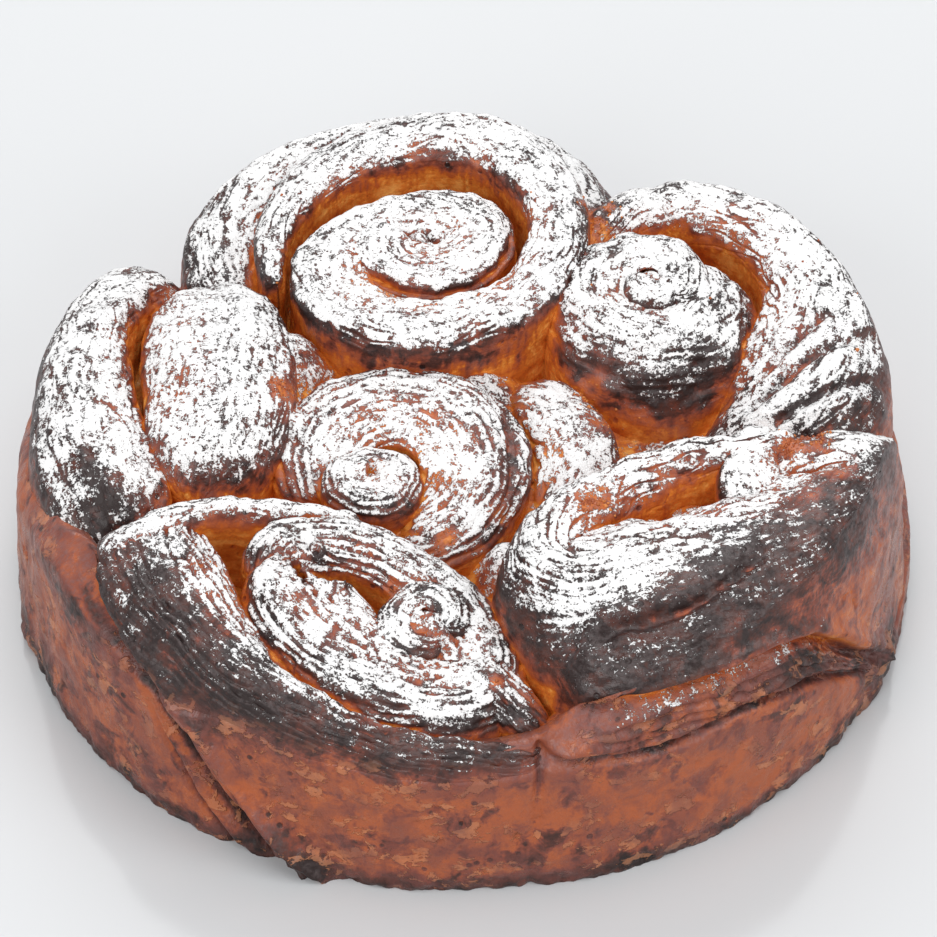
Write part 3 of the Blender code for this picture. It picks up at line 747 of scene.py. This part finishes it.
# ---- materials

def newGroup(name, inputs, outputs):
    group = bpy.data.node_groups.new(name, "ShaderNodeTree")
    for socket, kind in inputs:
        group.interface.new_socket(socket, in_out="INPUT", socket_type=kind)
    for socket, kind in outputs:
        group.interface.new_socket(socket, in_out="OUTPUT", socket_type=kind)
    return group


def addNode(tree, kind, inputs=None, **settings):
    node = tree.nodes.new(kind)
    for key, value in settings.items():
        setattr(node, key, value)
    for key, value in (inputs or {}).items():
        if isinstance(value, bpy.types.NodeSocket):
            tree.links.new(value, node.inputs[key])
        else:
            node.inputs[key].default_value = value
    return node


def calc(tree, operation, *values, clamp=False):
    return addNode(tree, "ShaderNodeMath", dict(enumerate(values)), operation=operation,
                   use_clamp=clamp).outputs[0]


def added(tree, *terms):
    # the sum of amount * (value - middle) over the terms
    total = None
    for value, middle, amount in terms:
        term = calc(tree, "MULTIPLY", calc(tree, "SUBTRACT", value, middle), amount)
        total = term if total is None else calc(tree, "ADD", total, term)
    return total


def remap(tree, value, low, high, toLow=0.0, toHigh=1.0):
    node = addNode(tree, "ShaderNodeMapRange", interpolation_type="SMOOTHSTEP", inputs={
        "Value": value, "From Min": low, "From Max": high, "To Min": toLow, "To Max": toHigh})
    return node.outputs["Result"]


def noise(tree, vector, scale, detail=2.0, rough=0.5, twist=0.0):
    node = addNode(tree, "ShaderNodeTexNoise", inputs={
        "Vector": vector, "Scale": scale, "Detail": detail, "Roughness": rough, "Distortion": twist})
    return node.outputs["Fac"]


def stretched(tree, vector, scale):
    return addNode(tree, "ShaderNodeMapping", inputs={"Vector": vector, "Scale": scale}).outputs[0]


def mixColour(tree, share, a, b, blend="MIX"):
    node = addNode(tree, "ShaderNodeMix", {0: share, 6: a, 7: b}, data_type="RGBA", blend_type=blend)
    return node.outputs[2]


# the palest tones, used in the sheltered gaps, also paint a glow there
crustTones = (  # from the least baked to burnt
    (0.00, (0.950, 0.500, 0.130, 1)),
    (0.11, (0.700, 0.225, 0.036, 1)),
    (0.25, (0.480, 0.115, 0.024, 1)),
    (0.41, (0.385, 0.098, 0.038, 1)),
    (0.58, (0.225, 0.058, 0.035, 1)),
    (0.76, (0.085, 0.029, 0.021, 1)),
    (1.00, (0.022, 0.012, 0.011, 1)))


def crustGroup():
    # baked dough: a tone from how long it baked, which also holds a painted glow in the gaps and
    # painted shade in the wall's seams, mottled at three sizes, with streaks along the strip,
    # blotches, and on the moulded wall pale torn patches and pits; a film of sugar greys it, and on
    # the right flank that grey film is a painted sheen
    tree = newGroup("bakedCrust", (
        ("Bake", "NodeSocketFloat"), ("Wall", "NodeSocketFloat"), ("DustAndSheenFilm", "NodeSocketFloat"),
        ("Place", "NodeSocketVector"), ("Lay", "NodeSocketVector")), (
        ("Color", "NodeSocketColor"), ("Roughness", "NodeSocketFloat"), ("Height", "NodeSocketFloat")))
    given = addNode(tree, "NodeGroupInput").outputs
    wide = noise(tree, given["Place"], 55, 3, 0.55)
    middle = noise(tree, given["Place"], 190, 3, 0.6, 0.3)
    fine = noise(tree, given["Place"], 800, 2, 0.65)
    streak = noise(tree, stretched(tree, given["Lay"], (0.16, 1, 1)), 420, 3, 0.6)
    streaked = calc(tree, "SUBTRACT", 1, calc(tree, "MULTIPLY", given["Wall"], 0.6))
    patch = noise(tree, stretched(tree, given["Place"], (1, 1, 1.4)), 150, 4, 0.66, 0.4)
    pale = calc(tree, "MULTIPLY", remap(tree, patch, 0.535, 0.575), calc(
        tree, "MULTIPLY", remap(tree, wide, 0.40, 0.56), given["Wall"]))
    blotch = remap(tree, noise(tree, given["Place"], 95, 4, 0.62, 0.8), 0.52, 0.63)
    pits = addNode(tree, "ShaderNodeTexVoronoi", {"Vector": given["Place"], "Scale": 190}).outputs["Distance"]
    pit = calc(tree, "MULTIPLY", remap(tree, pits, 0.20, 0.09), remap(tree, wide, 0.47, 0.56))
    steady = remap(tree, given["Bake"], 0.04, 0.34, 0.35, 1)  # the gaps are the evenest
    tone = calc(tree, "MULTIPLY_ADD", steady, added(
        tree, (wide, 0.5, 0.75), (middle, 0.5, 0.75), (calc(tree, "MULTIPLY", streak, streaked), 0.35, 0.45),
        (fine, 0.5, 0.35), (blotch, 0.25, 0.26), (pale, 0, -0.12), (pit, 0, 0.35)), given["Bake"], clamp=True)
    tone = calc(tree, "MAXIMUM", tone, calc(tree, "MULTIPLY", given["Wall"], calc(
        tree, "MINIMUM", 0.38, calc(tree, "ADD", given["Bake"], 0.04))))
    ramp = addNode(tree, "ShaderNodeValToRGB", {"Fac": tone})
    elements = ramp.color_ramp.elements
    while len(elements) < len(crustTones):
        elements.new(0.5)
    for element, (position, colour) in zip(elements, crustTones):
        element.position = position
        element.color = colour
    tan = mixColour(tree, calc(tree, "MULTIPLY", pale, 0.5), ramp.outputs["Color"], (0.56, 0.23, 0.11, 1))
    mottle = calc(tree, "MULTIPLY", remap(tree, noise(tree, given["Place"], 85, 5, 0.66, 0.4), 0.42, 0.60),
                  calc(tree, "MULTIPLY", given["Wall"], 0.6))
    tan = mixColour(tree, mottle, tan, (0.185, 0.060, 0.048, 1))
    veil = calc(tree, "MULTIPLY", given["DustAndSheenFilm"], remap(tree, fine, 0.35, 0.7, 0.01, 0.12))
    # the grey film: sugar dust on the tops, a painted sheen on the right flank
    dustAndSheenColour = mixColour(tree, veil, tan, (0.40, 0.31, 0.31, 1))
    height = added(tree, (streak, 0, 0.6), (fine, 0, 0.6), (middle, 0, 1.3), (pit, 0, -0.9),
                   (pale, 0, 1.0))
    addNode(tree, "NodeGroupOutput", {
        "Color": dustAndSheenColour, "Roughness": remap(tree, middle, 0.3, 0.7, 0.24, 0.48), "Height": height})
    return tree


def sugarGroup():
    # sieved icing sugar: it lies where the amount beats a grainy threshold, so it covers flat
    # crests but for specks, and breaks into clumps and streaks as a slope steepens
    tree = newGroup("icingSugar", (
        ("Amount", "NodeSocketFloat"), ("Place", "NodeSocketVector"), ("Lay", "NodeSocketVector")), (
        ("Mask", "NodeSocketFloat"), ("Height", "NodeSocketFloat"), ("Color", "NodeSocketColor")))
    given = addNode(tree, "NodeGroupInput").outputs
    speck = noise(tree, given["Place"], 860, 2, 0.55, 0.6)
    dust = noise(tree, given["Place"], 2300, 1, 0.5)
    clump = noise(tree, given["Place"], 170, 3, 0.55)
    streak = noise(tree, stretched(tree, given["Lay"], (0.35, 1, 1)), 640, 2, 0.55, 0.3)
    threshold = added(tree, (speck, 0.5, 0.95), (dust, 0.5, 0.55), (clump, 0.5, 0.65), (streak, 0.5, 0.70))
    level = addNode(tree, "ShaderNodeMapRange", {
        "Value": given["Amount"], "To Min": -0.36, "To Max": 0.15}).outputs["Result"]
    mask = calc(tree, "MULTIPLY", remap(tree, calc(tree, "SUBTRACT", level, threshold), -0.09, 0.07),
                remap(tree, given["Amount"], 0.02, 0.12))
    grain = noise(tree, given["Place"], 2600, 1, 0.5)
    height = calc(tree, "MULTIPLY", mask, calc(tree, "ADD", 0.7, calc(tree, "MULTIPLY", grain, 0.6)))
    shade = mixColour(tree, remap(tree, dust, 0.35, 0.65), (0.86, 0.85, 0.845, 1), (0.97, 0.96, 0.955, 1))
    addNode(tree, "NodeGroupOutput", {"Mask": mask, "Height": height, "Color": shade})
    return tree


bakedCrust = crustGroup()
icingSugar = sugarGroup()


def newMaterial(name):
    material = bpy.data.materials.new(name)
    material.use_nodes = True
    return material, material.node_tree, material.node_tree.nodes["Principled BSDF"]


def doughMaterial():
    material, tree, shader = newMaterial("dustedCrust")
    place = addNode(tree, "ShaderNodeTexCoord").outputs["Object"]
    bake, sugarAmount, film, wall, lay = (addNode(tree, "ShaderNodeAttribute", attribute_name=key)
                                          for key in ("bake", "sugar", "film", "wall", "lay"))
    crust = addNode(tree, "ShaderNodeGroup", node_tree=bakedCrust)
    sugar = addNode(tree, "ShaderNodeGroup", node_tree=icingSugar)
    for group, wanted in ((crust, dict(
            Bake=bake.outputs["Fac"], Wall=wall.outputs["Fac"], DustAndSheenFilm=film.outputs["Fac"])),
                          (sugar, dict(Amount=sugarAmount.outputs["Fac"]))):
        for key, socket in dict(wanted, Place=place, Lay=lay.outputs["Vector"]).items():
            tree.links.new(socket, group.inputs[key])
    colour = mixColour(tree, sugar.outputs["Mask"], crust.outputs["Color"], sugar.outputs["Color"])
    tree.links.new(colour, shader.inputs["Base Color"])
    rough = addNode(tree, "ShaderNodeMix", {
        0: sugar.outputs["Mask"], 2: crust.outputs["Roughness"], 3: 0.95}, data_type="FLOAT")
    tree.links.new(rough.outputs[0], shader.inputs["Roughness"])
    shader.inputs["Specular IOR Level"].default_value = 0.34
    height = added(tree, (crust.outputs["Height"], 0, 0.5), (sugar.outputs["Height"], 0, 1.0))
    relief = addNode(tree, "ShaderNodeBump", {"Strength": 0.85, "Distance": 0.0008, "Height": height})
    tree.links.new(relief.outputs["Normal"], shader.inputs["Normal"])
    return material


def crumbMaterial():
    material, tree, shader = newMaterial("paleCrumb")
    place = addNode(tree, "ShaderNodeTexCoord").outputs["Object"]
    shade = mixColour(tree, remap(tree, noise(tree, place, 130, 2), 0.4, 0.6),
                      (0.62, 0.21, 0.045, 1), (0.33, 0.075, 0.022, 1))
    tree.links.new(shade, shader.inputs["Base Color"])
    shader.inputs["Roughness"].default_value = 0.5
    return material


dustedCrust = doughMaterial()
for name, piece in pieces.items():
    piece.data.materials.append(crumbMaterial() if name == "looseCrumbs" else dustedCrust)


# ---- the scene: floor, light, camera

def floorMaterial():
    material, tree, shader = newMaterial("paleFloor")
    shader.inputs["Base Color"].default_value = (0.585, 0.595, 0.605, 1)
    shader.inputs["Roughness"].default_value = 0.13
    shader.inputs["Specular IOR Level"].default_value = 0.35
    return material


bpy.ops.mesh.primitive_plane_add(size=6)
floor = bpy.context.object
floor.name = "floor"
floor.data.materials.append(floorMaterial())

world = bpy.data.worlds.new("studio")
bpy.context.scene.world = world
world.use_nodes = True
world.node_tree.nodes["Background"].inputs["Color"].default_value = (0.97, 0.985, 1.0, 1)
world.node_tree.nodes["Background"].inputs["Strength"].default_value = 0.555


def softLight(name, place, size, power):
    light = bpy.data.lights.new(name, "AREA")
    light.energy, light.size = power, size
    lamp = bpy.data.objects.new(name, light)
    lamp.location = place
    lamp.rotation_euler = (-Vector(place)).to_track_quat("-Z", "Y").to_euler()
    bpy.context.scene.collection.objects.link(lamp)


# place and size in metres, power in watts
softLight("windowBehind", (-0.1, 1.1, 1.15), 1.0, 8.6)
softLight("overhead", (0.1, -0.1, 1.6), 1.2, 8.5)
softLight("frontFill", (-0.7, -1.0, 0.8), 0.9, 8)
softLight("rightFill", (1.1, -0.6, 0.7), 0.9, 6)

view = dict(elevation=45.5, distance=1.2, focalPixels=4450, framePixels=937, middle=(463.2, 551.9))


def addCamera():
    # the loaf's origin falls on the middle given; aiming past it puts the lens axis at the centre
    camera = bpy.data.cameras.new("camera")
    camera.sensor_width = 36
    camera.lens = 36 * view["focalPixels"] / view["framePixels"]
    tilt = math.radians(view["elevation"])
    place = Vector((0, -math.cos(tilt), math.sin(tilt))) * view["distance"]
    right, up = Vector((1, 0, 0)), Vector((0, math.sin(tilt), math.cos(tilt)))
    centre = view["framePixels"] / 2
    aim = -place.normalized() * view["focalPixels"]
    aim += right * (centre - view["middle"][0]) + up * (view["middle"][1] - centre)
    eye = bpy.data.objects.new("camera", camera)
    eye.location = place
    eye.rotation_euler = aim.to_track_quat("-Z", "Y").to_euler()
    bpy.context.scene.collection.objects.link(eye)
    bpy.context.scene.camera = eye


addCamera()
bpy.context.scene.view_settings.view_transform = "Standard"

for piece in pieces.values():
    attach(piece, "root")
    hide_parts(loafNode)
